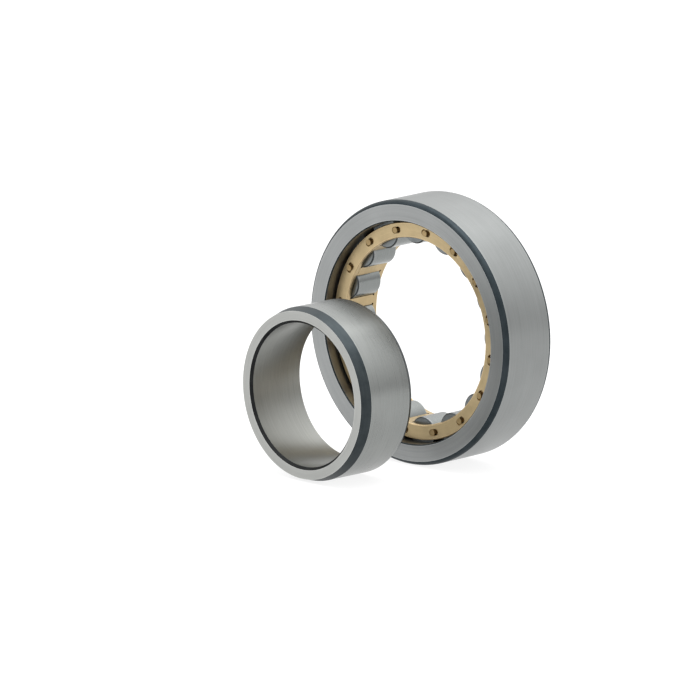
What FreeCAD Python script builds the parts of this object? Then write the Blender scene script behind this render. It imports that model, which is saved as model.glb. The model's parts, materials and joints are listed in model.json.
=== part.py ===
import FreeCAD, Part
import collections
import math
import os

# Single-row cylindrical roller bearing with a plain, removable inner ring and a riveted brass cage.
# Frame: origin at the centre of the outer ring, bearing axis along Y, front face towards -Y, +Z up.
# The bearing stands on the floor on its outer diameter, and the inner ring stands in front of it.

# Boundary dimensions of the bearing, in millimetres
BORE_DIAMETER = 65.0
OUTSIDE_DIAMETER = 120.0
WIDTH = 31.0
INNER_RACEWAY_DIAMETER = 78.5
OUTER_RACEWAY_DIAMETER = 108.5

# Roller set
ROLLER_COUNT = 16
ROLLER_LENGTH = 15.0
RACEWAY_CLEARANCE = 0.02
ROLLER_END_CLEARANCE = 0.05
ROLLER_CORNER = 0.6
ROLLER_DIMPLE_RADIUS = 3.0
ROLLER_DIMPLE_DEPTH = 0.3
FIRST_BAR_ANGLE = 81.9

# Outer ring
OUTER_CORNER_DEPTH = 1.85
OUTER_CORNER_LENGTH = 2.5
OUTER_CORNER_BULGE = 0.3
FLANGE_BORE_RADIUS = 50.4
FLANGE_CORNER = 0.5
RACEWAY_GROOVE = 0.5

# Inner ring
LEAD_IN_LENGTH = 5.2
LEAD_IN_DEPTH = 1.35
BACK_CORNER_LENGTH = 2.5
BORE_CORNER = 1.2
INNER_RING_CENTRE = (-9.5, -57.3)
INNER_RING_YAW = -2.95

# Cage: a comb with an open front, closed by a riveted cover ring
CAGE_OUTER_RADIUS = 49.3
CAGE_INNER_RADIUS = 42.4
CAGE_FRONT = -10.0
CAGE_BACK = 10.6
CAGE_CORNER = 0.35
POCKET_CLEARANCE = 0.2
POCKET_END_CLEARANCE = 0.1
CORNER_RELIEF_RADIUS = 0.5

# Rivets, each in an oblong seat that is longer around the cage than across it
RIVET_CIRCLE_RADIUS = 46.0
RIVET_SHANK_RADIUS = 0.7
RIVET_HEAD_RADIUS = 1.35
RIVET_HEAD_HEIGHT = 2.2
SEAT_HALF_WIDTH = 1.55
SEAT_HALF_LENGTH = 2.6
SEAT_DEPTH = 1.25

# How far a cutter runs past the surface that it opens
OVERSHOOT = 1.0

# Derived sizes
HALF_WIDTH = WIDTH / 2
OUTER_RADIUS = OUTSIDE_DIAMETER / 2
INNER_RACEWAY_RADIUS = INNER_RACEWAY_DIAMETER / 2
OUTER_RACEWAY_RADIUS = OUTER_RACEWAY_DIAMETER / 2
PITCH_RADIUS = (INNER_RACEWAY_RADIUS + OUTER_RACEWAY_RADIUS) / 2
ROLLER_RADIUS = (OUTER_RACEWAY_RADIUS - INNER_RACEWAY_RADIUS) / 2 - RACEWAY_CLEARANCE
RACEWAY_HALF_LENGTH = ROLLER_LENGTH / 2 + ROLLER_END_CLEARANCE
POCKET_RADIUS = ROLLER_RADIUS + POCKET_CLEARANCE
POCKET_HALF_LENGTH = ROLLER_LENGTH / 2 + POCKET_END_CLEARANCE
STATION_ANGLE = 360.0 / ROLLER_COUNT

Via = collections.namedtuple("Via", "radius along")
ORIGIN = FreeCAD.Vector(0, 0, 0)
BEARING_AXIS = FreeCAD.Vector(0, 1, 0)
VERTICAL_AXIS = FreeCAD.Vector(0, 0, 1)


def turned(profile):
    """A solid of revolution about the bearing axis, from its (radius, position along the axis) corners.

    Where a corner is followed by a Via, the edge that leaves it is an arc through that point.
    """
    edges = []
    corners = [point for point in profile if not isinstance(point, Via)]
    for start, end in zip(corners, corners[1:] + corners[:1]):
        following = profile[(profile.index(start) + 1) % len(profile)]
        if isinstance(following, Via):
            edges.append(Part.Arc(spot(start), spot(following), spot(end)).toShape())
        else:
            edges.append(Part.makeLine(spot(start), spot(end)))
    return Part.Face(Part.Wire(edges)).revolve(ORIGIN, BEARING_AXIS, 360)


def spot(point):
    """The place of a (radius, position along the axis) pair in the half-plane that is turned."""
    radius, along = point
    return FreeCAD.Vector(radius, along, 0)


def mirrored(profile):
    """The same corners at the other end, in reverse order, so that they follow on round the outline."""
    return [type(point)(radius, -along) if isinstance(point, Via) else (radius, -along)
            for point in reversed(profile) for radius, along in [point]]


def rod(radius, start, end, distance=0.0):
    """A cylinder parallel to the bearing axis, between two positions along it, at a distance from it."""
    return Part.makeCylinder(radius, end - start, FreeCAD.Vector(distance, start, 0), BEARING_AXIS)


def at_station(shape, angle):
    """A copy turned about the bearing axis: 0 degrees is towards +X, and 90 degrees towards +Z."""
    copy = shape.copy()
    copy.rotate(ORIGIN, BEARING_AXIS, -angle)
    return copy


def bar_angles():
    """The angle of each cage bar and its rivet."""
    return [FIRST_BAR_ANGLE + STATION_ANGLE * number for number in range(ROLLER_COUNT)]


def roller_angles():
    """The angle of each roller, midway between two bars."""
    return [angle + STATION_ANGLE / 2 for angle in bar_angles()]


def outer_ring():
    """Outer ring with two flanges, rounded corners, and a relief groove at each end of the raceway."""
    end = HALF_WIDTH
    edge = RACEWAY_HALF_LENGTH
    groove_floor = OUTER_RACEWAY_RADIUS + RACEWAY_GROOVE / 2
    middle_radius = OUTER_RADIUS - OUTER_CORNER_DEPTH / 2 + OUTER_CORNER_BULGE
    middle_along = -end + OUTER_CORNER_LENGTH / 2 - OUTER_CORNER_BULGE
    front = [
        (OUTER_RADIUS, -end + OUTER_CORNER_LENGTH),
        Via(middle_radius, middle_along),
        (OUTER_RADIUS - OUTER_CORNER_DEPTH, -end),
        (FLANGE_BORE_RADIUS + FLANGE_CORNER, -end),
        (FLANGE_BORE_RADIUS, -end + FLANGE_CORNER),
        (FLANGE_BORE_RADIUS, -edge),
        (groove_floor, -edge),
        (groove_floor, -edge + RACEWAY_GROOVE),
        (OUTER_RACEWAY_RADIUS, -edge + RACEWAY_GROOVE),
    ]
    return turned(front + mirrored(front))


def inner_ring():
    """Plain inner ring, with a long shallow lead-in at the front and a short corner at the back."""
    end = HALF_WIDTH
    bore_radius = BORE_DIAMETER / 2
    side_face = [(bore_radius, -end + BORE_CORNER), (bore_radius + BORE_CORNER, -end)]
    shoulder_radius = INNER_RACEWAY_RADIUS - LEAD_IN_DEPTH
    raceway = [
        (shoulder_radius, -end),
        (INNER_RACEWAY_RADIUS, -end + LEAD_IN_LENGTH),
        (INNER_RACEWAY_RADIUS, end - BACK_CORNER_LENGTH),
        (shoulder_radius, end),
    ]
    ring = turned(side_face + raceway + mirrored(side_face))
    ring.rotate(ORIGIN, VERTICAL_AXIS, INNER_RING_YAW)
    aside, forward = INNER_RING_CENTRE
    ring.translate(FreeCAD.Vector(aside, forward, INNER_RACEWAY_RADIUS - OUTER_RADIUS))
    return ring


def cage_ring(start, end):
    """A flat ring of the cage's section, with its four long edges broken."""
    corner = CAGE_CORNER
    return turned(
        [
            (CAGE_INNER_RADIUS + corner, start),
            (CAGE_OUTER_RADIUS - corner, start),
            (CAGE_OUTER_RADIUS, start + corner),
            (CAGE_OUTER_RADIUS, end - corner),
            (CAGE_OUTER_RADIUS - corner, end),
            (CAGE_INNER_RADIUS + corner, end),
            (CAGE_INNER_RADIUS, end - corner),
            (CAGE_INNER_RADIUS, start + corner),
        ]
    )


def rivet():
    """One of the identical rivets, at angle 0: a shank through the cage with a flat head at each end."""
    front_seat = CAGE_FRONT + SEAT_DEPTH
    back_seat = CAGE_BACK - SEAT_DEPTH
    shank = rod(RIVET_SHANK_RADIUS, front_seat, back_seat, RIVET_CIRCLE_RADIUS)
    front_head = rod(RIVET_HEAD_RADIUS, front_seat - RIVET_HEAD_HEIGHT, front_seat, RIVET_CIRCLE_RADIUS)
    back_head = rod(RIVET_HEAD_RADIUS, back_seat, back_seat + RIVET_HEAD_HEIGHT, RIVET_CIRCLE_RADIUS)
    return shank.fuse([front_head, back_head]).removeSplitter()


def seat_cutter(start, end):
    """An oblong seat for a rivet head at angle 0, between two positions along the axis."""
    reach = SEAT_HALF_LENGTH - SEAT_HALF_WIDTH
    length = end - start
    corner = FreeCAD.Vector(RIVET_CIRCLE_RADIUS - SEAT_HALF_WIDTH, start, -reach)
    middle = Part.makeBox(2 * SEAT_HALF_WIDTH, length, 2 * reach, corner)
    round_end = rod(SEAT_HALF_WIDTH, start, end, RIVET_CIRCLE_RADIUS)
    ends = [round_end.translated(FreeCAD.Vector(0, 0, side * reach)) for side in (-1, 1)]
    return middle.fuse(ends).removeSplitter()


def rivet_cutter():
    """The hole for one rivet at angle 0, with a seat for each head."""
    before = CAGE_FRONT - OVERSHOOT
    behind = CAGE_BACK + OVERSHOOT
    hole = rod(RIVET_SHANK_RADIUS, before, behind, RIVET_CIRCLE_RADIUS)
    front_seat = seat_cutter(before, CAGE_FRONT + SEAT_DEPTH)
    back_seat = seat_cutter(CAGE_BACK - SEAT_DEPTH, behind)
    return hole.fuse([front_seat, back_seat])


def corner_relief(side):
    """A small radial drilling at one corner of a pocket's closed end, for the roller at angle 0."""
    height = PITCH_RADIUS - CAGE_INNER_RADIUS
    half_window = math.sqrt(POCKET_RADIUS**2 - height**2)
    aside = side * (half_window - CORNER_RELIEF_RADIUS / 2)
    start = FreeCAD.Vector(CAGE_INNER_RADIUS - 2 * OVERSHOOT, POCKET_HALF_LENGTH, aside)
    length = CAGE_OUTER_RADIUS - CAGE_INNER_RADIUS + 3 * OVERSHOOT
    return Part.makeCylinder(CORNER_RELIEF_RADIUS, length, start, FreeCAD.Vector(1, 0, 0))


def pocket_cutter():
    """The pocket for the roller at angle 0: a round bore from the front, relieved at its closed corners."""
    bore = rod(POCKET_RADIUS, -POCKET_HALF_LENGTH - OVERSHOOT, POCKET_HALF_LENGTH, PITCH_RADIUS)
    return bore.fuse([corner_relief(side) for side in (-1, 1)])


def cage_comb():
    """Back ring of the cage with its bars: a thick ring with a pocket for each roller."""
    comb = cage_ring(-POCKET_HALF_LENGTH, CAGE_BACK)
    cutters = [at_station(pocket_cutter(), angle) for angle in roller_angles()]
    cutters += [at_station(rivet_cutter(), angle) for angle in bar_angles()]
    return comb.cut(cutters)


def cage_cover():
    """Front ring of the cage, which closes the pockets and is riveted to the bars."""
    cover = cage_ring(CAGE_FRONT, -POCKET_HALF_LENGTH)
    return cover.cut([at_station(rivet_cutter(), angle) for angle in bar_angles()])


def roller():
    """One roller at angle 0, with broken corners and a shallow dimple in the middle of each end."""
    end = ROLLER_LENGTH / 2
    profile = [
        (0, -end + ROLLER_DIMPLE_DEPTH),
        (ROLLER_DIMPLE_RADIUS - ROLLER_DIMPLE_DEPTH, -end + ROLLER_DIMPLE_DEPTH),
        (ROLLER_DIMPLE_RADIUS, -end),
        (ROLLER_RADIUS - ROLLER_CORNER, -end),
        (ROLLER_RADIUS, -end + ROLLER_CORNER),
    ]
    body = turned(profile + mirrored(profile))
    body.translate(FreeCAD.Vector(PITCH_RADIUS, 0, 0))
    return body


def write(name, shape):
    """Write one sub-part as a STEP file."""
    shape.exportStep(f"parts/{name}.step")


os.makedirs("parts", exist_ok=True)
write("outer_ring", outer_ring())
write("inner_ring", inner_ring())
write("cage_comb", cage_comb())
write("cage_cover", cage_cover())
write("cage_rivets", Part.makeCompound([at_station(rivet(), angle) for angle in bar_angles()]))
for number, angle in enumerate(roller_angles(), start=1):
    write(f"roller_{number:02d}", at_station(roller(), angle))
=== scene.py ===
import json
import math

import bpy
from mathutils import Matrix, Vector


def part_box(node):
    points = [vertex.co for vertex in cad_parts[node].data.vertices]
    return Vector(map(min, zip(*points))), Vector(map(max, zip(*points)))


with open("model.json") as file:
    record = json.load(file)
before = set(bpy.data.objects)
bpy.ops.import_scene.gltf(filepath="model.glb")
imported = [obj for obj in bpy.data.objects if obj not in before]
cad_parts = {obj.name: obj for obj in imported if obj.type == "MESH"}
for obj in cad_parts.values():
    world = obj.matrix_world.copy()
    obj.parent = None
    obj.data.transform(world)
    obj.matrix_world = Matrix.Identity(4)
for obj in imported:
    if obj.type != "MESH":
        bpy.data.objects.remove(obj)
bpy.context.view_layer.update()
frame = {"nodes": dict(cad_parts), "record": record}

# The bearing as a whole: its axis is Y, and the outer ring's centre is the origin.
MOUNTS = {mount["name"]: mount for mount in frame["record"]["mounts"]}
OUTER_RADIUS = MOUNTS["housing_seat"]["dims"]["r_mm"] / 1000
BORE_RADIUS = MOUNTS["shaft_bore"]["dims"]["r_mm"] / 1000
FLOOR_HEIGHT = -OUTER_RADIUS
HALF_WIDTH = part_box("outer_ring")[1].y

# The edges that wear bright: radii on the side faces and positions along the cylinders, in metres
OUTER_FACE_EDGES = (0.0509, 0.05815)
OUTER_SIDE_EDGES = (-0.013, 0.013)
INNER_FACE_EDGES = (0.0337, 0.0379)
RACEWAY_EDGES = (-0.0103, 0.013)
CAGE_FACE_EDGES = (0.04275, 0.04895)
CAGE_SIDE_EDGES = (-0.00965, -0.0076, 0.01025)
ROLLER_EDGES = (-0.0069, 0.0069)

# Where the zones of a surface change. A slope is how far a face's normal points along the axis.
NEAR = 0.00005
FLAT_SLOPE = 0.95
ROUND_SLOPE = 0.1
ROUND_INSIDE = 0.001
RACEWAY_OVER_BORE = 0.006
CHAMFER_OVER_BORE = 0.002


# Where each piece's own axis and middle are

def ring_place(origin, axis):
    """The matrix from the row's frame to a ring's own frame, whose Y is the ring's axis."""
    turn = Vector((0, 1, 0)).rotation_difference(Vector(axis)).to_matrix().to_4x4()
    return (Matrix.Translation(Vector(origin)) @ turn).inverted()


OUTER_PLACE = ring_place((0, 0, 0), (0, 1, 0))
INNER_PLACE = ring_place(MOUNTS["shaft_bore"]["pos_m"], [-part for part in MOUNTS["shaft_bore"]["axis"]])


# Building blocks for the materials

class Material:
    """A node material with one Principled shader, and short ways to add the nodes it needs."""

    def __init__(self, name, metallic=1.0, **values):
        self.material = bpy.data.materials.new(name)
        self.material.use_nodes = True
        self.tree = self.material.node_tree
        self.shader = self.tree.nodes["Principled BSDF"]
        self.shader.inputs["Metallic"].default_value = metallic
        for socket, value in values.items():
            self.shader.inputs[socket.replace("_", " ")].default_value = value

    def node(self, kind, inputs=None, **settings):
        node = self.tree.nodes.new("ShaderNode" + kind)
        for setting, value in settings.items():
            setattr(node, setting, value)
        for socket, value in (inputs or {}).items():
            self.put(value, node.inputs[socket])
        return node

    def put(self, value, socket):
        """Links an output to a socket, or sets the socket to a number."""
        if isinstance(value, bpy.types.NodeSocket):
            self.tree.links.new(value, socket)
        else:
            socket.default_value = value

    def math(self, operation, *values):
        node = self.node("Math", operation=operation)
        for socket, value in zip(node.inputs, values):
            self.put(value, socket)
        return node.outputs["Value"]

    def ring_coordinates(self, place):
        """(radius, angle in turns, position along the axis) in a ring's own frame, in metres."""
        here = self.node("TexCoord").outputs["Object"]
        offset = place.to_translation()
        turn = place.to_euler()
        local = self.node("Mapping", {"Vector": here, "Location": offset, "Rotation": turn})
        parts = self.node("SeparateXYZ", {"Vector": local.outputs["Vector"]}).outputs
        square_x = self.math("MULTIPLY", parts["X"], parts["X"])
        square = self.math("MULTIPLY_ADD", parts["Z"], parts["Z"], square_x)
        radius = self.math("SQRT", square)
        turns = self.math("MULTIPLY", self.math("ARCTAN2", parts["Z"], parts["X"]), 1 / math.tau)
        return radius, turns, parts["Y"]

    def vector(self, x, y, z):
        return self.node("CombineXYZ", {"X": x, "Y": y, "Z": z}).outputs["Vector"]

    def noise(self, vector, scale, detail=3.0, roughness=0.55):
        inputs = {"Vector": vector, "Scale": scale, "Detail": detail, "Roughness": roughness}
        return self.node("TexNoise", inputs).outputs["Fac"]

    def ramp(self, factor, *stops):
        """A colour ramp through (position, colour) stops."""
        node = self.node("ValToRGB", {"Fac": factor})
        elements = node.color_ramp.elements
        while len(elements) < len(stops):
            elements.new(1.0)
        for element, (position, colour) in zip(elements, stops):
            element.position = position
            element.color = (*colour, 1.0)
        return node.outputs["Color"]

    def range(self, value, low, high):
        """A factor from 0 to 1 stretched to run from low to high."""
        return self.node("MapRange", {"Value": value, "To Min": low, "To Max": high}).outputs["Result"]

    def mix(self, factor, first, second):
        node = self.node("Mix", data_type="RGBA")
        self.put(factor, node.inputs["Factor"])
        self.put(first, node.inputs["A"])
        self.put(second, node.inputs["B"])
        return node.outputs["Result"]

    def wear(self, position, edges, width):
        """How worn a spot is, from 0 to 1: greatest at the edges, and broken up along them."""
        nearness = 0.0
        for edge in edges:
            away = self.math("ABSOLUTE", self.math("SUBTRACT", position, edge))
            falloff = self.math("SUBTRACT", 1.0, self.math("DIVIDE", away, width))
            nearness = self.math("MAXIMUM", nearness, falloff)
        patches = self.noise(self.node("TexCoord").outputs["Object"], WEAR_SCALE, 4.0, 0.7)
        return self.math("MULTIPLY", nearness, self.range(patches, -0.4, 1.6))

    def bump(self, height, strength, distance):
        node = self.node("Bump", {"Height": height, "Strength": strength, "Distance": distance})
        self.put(node.outputs["Normal"], self.shader.inputs["Normal"])

    def surface(self, colour=None, roughness=None):
        if colour is not None:
            self.put(colour, self.shader.inputs["Base Color"])
        if roughness is not None:
            self.put(roughness, self.shader.inputs["Roughness"])
        return self.material


def grey(level):
    """A neutral grey."""
    return (level, level, level)


# How fine each kind of mark is: noise cells per metre across it, and per turn along it
LINE_DENSITY = 9000.0
LINE_WAVER = 14.0
BAND_DENSITY = 1100.0
BAND_WAVER = 3.0
SCALE_MARK_DENSITY = 5000.0
SCALE_MARK_WAVER = 9.0
TURNING_DENSITY = 3500.0
TURNING_WAVER = 6.0
ROLLER_LINE_DENSITY = (220.0, 6000.0, 220.0)

# How fine the cloudiness of each metal is, in noise cells per metre
BLOTCH_SCALE = 38.0
MOTTLE_SCALE = 160.0
TARNISH_SCALE = 120.0
WEAR_SCALE = 260.0
PAPER_SCALE = 900.0

# How far edge wear reaches from an edge, and how deep the marks are, in metres
WEAR_WIDTH = 0.00035
GRINDING_DEPTH = 0.00002
SCALE_MARK_DEPTH = 0.00003
TURNING_DEPTH = 0.00004
ROLLER_LINE_DEPTH = 0.00001

# The colour that worn edges show, where it isn't worked out from the metal's own
WORN_BRASS = (0.78, 0.6, 0.36, 1.0)
WORN_ROLLER = (0.42, 0.43, 0.435, 1.0)
WORN_STEEL_GAIN = 1.5


def ring_marks(m, spread, turns, density, waver):
    """Fine lines that run round a ring: noise drawn out along the angle."""
    across = m.math("MULTIPLY", spread, density)
    around = m.math("MULTIPLY", turns, waver)
    return m.noise(m.vector(across, around, 0.0), 1.0)


def ground_steel(name, place, across, dark, light, roughness, edges=()):
    """Steel with fine grinding lines round the ring's axis.

    across is "along" for a cylinder and "radius" for a side face.
    """
    m = Material(name)
    radius, turns, along = m.ring_coordinates(place)
    spread = along if across == "along" else radius
    lines = ring_marks(m, spread, turns, LINE_DENSITY, LINE_WAVER)
    bands = ring_marks(m, spread, turns, BAND_DENSITY, BAND_WAVER)
    blotches = m.noise(m.node("TexCoord").outputs["Object"], BLOTCH_SCALE, 4.0, 0.5)
    fine = m.math("MULTIPLY_ADD", lines, 0.4, m.math("MULTIPLY", bands, 0.25))
    blend = m.math("MULTIPLY_ADD", blotches, 0.35, fine)
    colour = m.ramp(blend, (0.32, dark), (0.68, light))
    if edges:
        worn = (*[WORN_STEEL_GAIN * part for part in light], 1.0)
        colour = m.mix(m.wear(spread, edges, WEAR_WIDTH), colour, worn)
    m.bump(lines, 0.25, GRINDING_DEPTH)
    return m.surface(colour, m.range(blend, roughness - 0.06, roughness + 0.08))


def scaled_steel(name, place, dark, light):
    """The dark, unground corner of a hardened ring: turning marks under a blue-black skin."""
    m = Material(name)
    radius, turns, along = m.ring_coordinates(place)
    marks = ring_marks(m, m.math("ADD", radius, along), turns, SCALE_MARK_DENSITY, SCALE_MARK_WAVER)
    mottle = m.noise(m.node("TexCoord").outputs["Object"], MOTTLE_SCALE, 5.0, 0.6)
    blend = m.math("MULTIPLY_ADD", marks, 0.4, m.math("MULTIPLY", mottle, 0.6))
    m.bump(marks, 0.3, SCALE_MARK_DEPTH)
    return m.surface(m.ramp(blend, (0.3, dark), (0.7, light)), m.range(mottle, 0.35, 0.55))


def turned_brass(name, across, dark, light, edges=()):
    """Machined cage brass: fine turning marks round the bearing axis, and a faint cloudy tarnish."""
    m = Material(name)
    radius, turns, along = m.ring_coordinates(OUTER_PLACE)
    spread = along if across == "along" else radius
    marks = ring_marks(m, spread, turns, TURNING_DENSITY, TURNING_WAVER)
    cloud = m.noise(m.node("TexCoord").outputs["Object"], TARNISH_SCALE, 4.0, 0.6)
    blend = m.math("MULTIPLY_ADD", marks, 0.35, m.math("MULTIPLY", cloud, 0.65))
    colour = m.ramp(blend, (0.3, dark), (0.7, light))
    if edges:
        colour = m.mix(m.wear(spread, edges, WEAR_WIDTH), colour, WORN_BRASS)
    m.bump(marks, 0.25, TURNING_DEPTH)
    return m.surface(colour, m.range(cloud, 0.3, 0.48))


def roller_steel(name, dark, light, roughness):
    """Finely ground roller steel, with faint lines round each roller and worn edges at its ends."""
    m = Material(name)
    here = m.node("TexCoord").outputs["Object"]
    along = m.node("SeparateXYZ", {"Vector": here}).outputs["Y"]
    stretched = m.node("Mapping", {"Vector": here, "Scale": ROLLER_LINE_DENSITY}).outputs["Vector"]
    lines = m.noise(stretched, 1.0)
    colour = m.ramp(lines, (0.3, dark), (0.7, light))
    colour = m.mix(m.wear(along, ROLLER_EDGES, WEAR_WIDTH), colour, WORN_ROLLER)
    m.bump(lines, 0.06, ROLLER_LINE_DEPTH)
    return m.surface(colour, m.range(lines, roughness - 0.04, roughness + 0.05))


# Which material each face of a node takes

def dress(node, materials, choose):
    """Gives a CAD node its materials, and each face the one that choose(centre, normal) names."""
    piece = frame["nodes"][node]
    piece.data.materials.clear()
    names = list(materials)
    for name in names:
        piece.data.materials.append(materials[name])
    for face in piece.data.polygons:
        face.material_index = names.index(choose(face.center, face.normal))


def ring_zone(place, outer_radius, chamfer_radius=0.0):
    """A choice of zone on a ring: face, outside, inside, unground corner or bore chamfer."""
    turn = place.to_3x3()

    def choose(centre, normal):
        spot = place @ centre
        slope = abs((turn @ normal).y)
        radius = math.hypot(spot.x, spot.z)
        if slope > FLAT_SLOPE:
            return "face" if abs(abs(spot.y) - HALF_WIDTH) < NEAR else "inside"
        if slope > ROUND_SLOPE:
            return "corner" if radius > chamfer_radius else "chamfer"
        return "outside" if radius > outer_radius - ROUND_INSIDE else "inside"

    return choose


# The darkest and lightest colour of each surface, then its roughness
OUTER_FACE_TONES = ((0.235, 0.243, 0.242), (0.335, 0.345, 0.345), 0.36)
OUTER_SIDE_TONES = ((0.2, 0.208, 0.205), (0.28, 0.29, 0.287), 0.34)
FLANGE_BORE_TONES = ((0.18, 0.176, 0.163), (0.31, 0.303, 0.283), 0.34)
INNER_FACE_TONES = ((0.3, 0.305, 0.295), (0.42, 0.426, 0.41), 0.36)
RACEWAY_TONES = ((0.2, 0.208, 0.202), (0.28, 0.29, 0.282), 0.27)
BORE_TONES = ((0.24, 0.245, 0.232), (0.35, 0.355, 0.337), 0.33)
OUTER_CORNER_TONES = ((0.014, 0.02, 0.023), (0.042, 0.052, 0.058))
INNER_CORNER_TONES = ((0.022, 0.028, 0.031), (0.05, 0.059, 0.063))
CHAMFER_TONES = ((0.01, 0.0105, 0.011), (0.025, 0.0265, 0.027))
CAGE_FACE_TONES = ((0.37, 0.29, 0.165), (0.55, 0.43, 0.25))
CAGE_SIDE_TONES = ((0.34, 0.26, 0.145), (0.5, 0.385, 0.22))
RIVET_TONES = ((0.25, 0.18, 0.085), (0.4, 0.29, 0.15))
ROLLING_TONES = ((0.19, 0.2, 0.196), (0.235, 0.246, 0.241), 0.24)
ROLLER_CORNER_TONES = ((0.035, 0.039, 0.041), (0.06, 0.066, 0.069), 0.35)
# Roller ends: a blue-grey steel tone, darkened further as painted shade, so they look dark where they show
# in the gap between cage and flange
ROLLER_END_TONES_WITH_GAP_SHADE = ((0.15, 0.162, 0.166), (0.21, 0.226, 0.231), 0.32)

OUTER_SKINS = {
    "face": ground_steel("outer_ring_face", OUTER_PLACE, "radius", *OUTER_FACE_TONES, OUTER_FACE_EDGES),
    "outside": ground_steel("outer_ring_outside", OUTER_PLACE, "along", *OUTER_SIDE_TONES, OUTER_SIDE_EDGES),
    "inside": ground_steel("outer_ring_inside", OUTER_PLACE, "along", *FLANGE_BORE_TONES),
    "corner": scaled_steel("outer_ring_corner", OUTER_PLACE, *OUTER_CORNER_TONES),
}
INNER_SKINS = {
    "face": ground_steel("inner_ring_face", INNER_PLACE, "radius", *INNER_FACE_TONES, INNER_FACE_EDGES),
    "outside": ground_steel("inner_ring_raceway", INNER_PLACE, "along", *RACEWAY_TONES, RACEWAY_EDGES),
    "inside": ground_steel("inner_ring_bore", INNER_PLACE, "along", *BORE_TONES),
    "corner": scaled_steel("inner_ring_corner", INNER_PLACE, *INNER_CORNER_TONES),
    "chamfer": scaled_steel("inner_ring_chamfer", INNER_PLACE, *CHAMFER_TONES),
}
BRASS_SKINS = {
    "face": turned_brass("cage_face", "radius", *CAGE_FACE_TONES, CAGE_FACE_EDGES),
    "side": turned_brass("cage_side", "along", *CAGE_SIDE_TONES, CAGE_SIDE_EDGES),
}
RIVET_SKIN = turned_brass("rivet_head", "radius", *RIVET_TONES)
ROLLER_SKINS = {
    "rolling": roller_steel("roller_rolling_surface", *ROLLING_TONES),
    "corner": roller_steel("roller_corner", *ROLLER_CORNER_TONES),
    # The roller ends' dark tone is partly painted shade for the gap between cage and flange
    "end": roller_steel("roller_end_with_painted_shade", *ROLLER_END_TONES_WITH_GAP_SHADE),
}


def brass_zone(centre, normal):
    return "face" if abs(normal.y) > FLAT_SLOPE else "side"


def roller_zone(centre, normal):
    if abs(normal.y) < ROUND_SLOPE:
        return "rolling"
    return "end" if abs(normal.y) > FLAT_SLOPE else "corner"


dress("outer_ring", OUTER_SKINS, ring_zone(OUTER_PLACE, OUTER_RADIUS))
inner_zone = ring_zone(INNER_PLACE, BORE_RADIUS + RACEWAY_OVER_BORE, BORE_RADIUS + CHAMFER_OVER_BORE)
dress("inner_ring", INNER_SKINS, inner_zone)
dress("cage_comb", BRASS_SKINS, brass_zone)
dress("cage_cover", BRASS_SKINS, brass_zone)
dress("cage_rivets", {"head": RIVET_SKIN}, lambda centre, normal: "head")
for name in frame["nodes"]:
    if name.startswith("roller"):
        dress(name, ROLLER_SKINS, roller_zone)


# Floor

WHITE = (1.0, 1.0, 1.0, 1.0)
FLOOR_REACH = 12.0
FLOOR_GLOW = 0.85


def floor():
    """A plain pale sheet that the bearing stands on."""
    mesh = bpy.data.meshes.new("floor")
    corners = [(x * FLOOR_REACH, y * FLOOR_REACH, 0) for x, y in ((-1, -1), (1, -1), (1, 1), (-1, 1))]
    mesh.from_pydata(corners, [], [(0, 1, 2, 3)])
    piece = bpy.data.objects.new("floor", mesh)
    piece.location.z = FLOOR_HEIGHT
    bpy.context.scene.collection.objects.link(piece)
    m = Material("floor_paper", metallic=0.0, Emission_Strength=FLOOR_GLOW)
    m.shader.inputs["Emission Color"].default_value = WHITE
    grain = m.noise(m.node("TexCoord").outputs["Object"], PAPER_SCALE)
    mesh.materials.append(m.surface(m.ramp(grain, (0.0, grey(0.14)), (1.0, grey(0.18))), 0.9))


floor()


# Light

HORIZON_STRENGTH = 0.62
ZENITH_STRENGTH = 2.4


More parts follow.
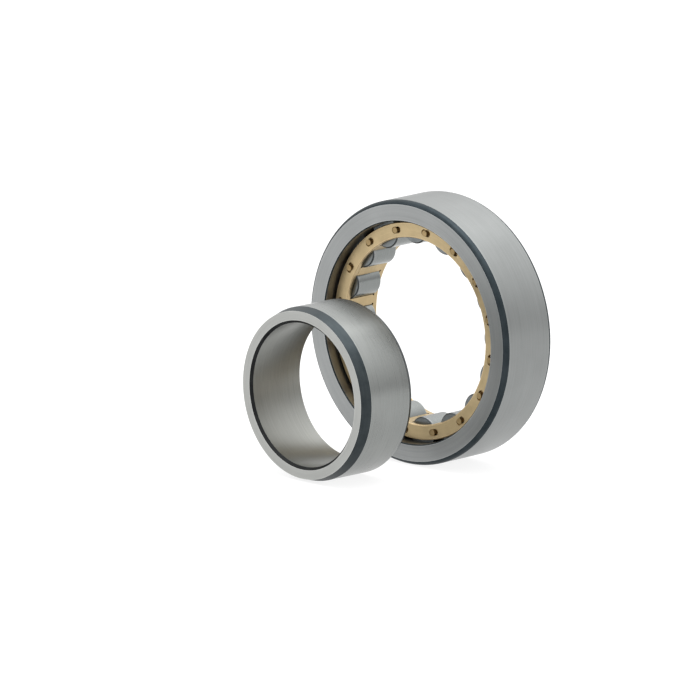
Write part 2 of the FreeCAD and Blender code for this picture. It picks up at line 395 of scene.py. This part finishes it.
def soft_box(name, place, size, power):
    """A square area light that faces the bearing."""
    lamp = bpy.data.lights.new(name, "AREA")
    lamp.size = size
    lamp.energy = power
    light = bpy.data.objects.new(name, lamp)
    light.location = place
    light.rotation_mode = "QUATERNION"
    light.rotation_quaternion = (-Vector(place)).to_track_quat("-Z", "Y")
    bpy.context.scene.collection.objects.link(light)


soft_box("overhead", (0.1, 0.1, 1.6), 1.6, 17.0)
soft_box("left_front", (-1.5, -1.4, 0.9), 1.2, 3.0)


def sky():
    """An even white room, brighter overhead than at the horizon."""
    world = bpy.data.worlds.new("studio")
    bpy.context.scene.world = world
    world.use_nodes = True
    nodes = world.node_tree.nodes
    links = world.node_tree.links
    direction = nodes.new("ShaderNodeTexCoord").outputs["Generated"]
    height = nodes.new("ShaderNodeSeparateXYZ")
    strength = nodes.new("ShaderNodeMapRange")
    strength.inputs["To Min"].default_value = HORIZON_STRENGTH
    strength.inputs["To Max"].default_value = ZENITH_STRENGTH
    links.new(direction, height.inputs["Vector"])
    links.new(height.outputs["Z"], strength.inputs["Value"])
    links.new(strength.outputs["Result"], nodes["Background"].inputs["Strength"])
    nodes["Background"].inputs["Color"].default_value = WHITE


sky()
bpy.context.scene.view_settings.view_transform = "Standard"


# Camera, at the angle the bearing is seen from

AZIMUTH = math.radians(43.09)
ELEVATION = math.radians(12.19)
DISTANCE = 5.337
FOCAL_LENGTH = 614.2
AIM_RIGHT = -0.0358
AIM_UP = -0.00988


def camera():
    """A long lens that looks at the space between the two rings, from above and to the right."""
    back = Vector(
        (
            math.sin(AZIMUTH) * math.cos(ELEVATION),
            -math.cos(AZIMUTH) * math.cos(ELEVATION),
            math.sin(ELEVATION),
        )
    )
    right = Vector((math.cos(AZIMUTH), math.sin(AZIMUTH), 0))
    up = back.cross(right)
    lens = bpy.data.cameras.new("camera")
    lens.lens = FOCAL_LENGTH
    lens.clip_end = 50.0
    view = bpy.data.objects.new("camera", lens)
    view.location = right * AIM_RIGHT + up * AIM_UP + back * DISTANCE
    view.rotation_mode = "QUATERNION"
    view.rotation_quaternion = (-back).to_track_quat("-Z", "Y")
    bpy.context.scene.collection.objects.link(view)
    bpy.context.scene.camera = view


camera()
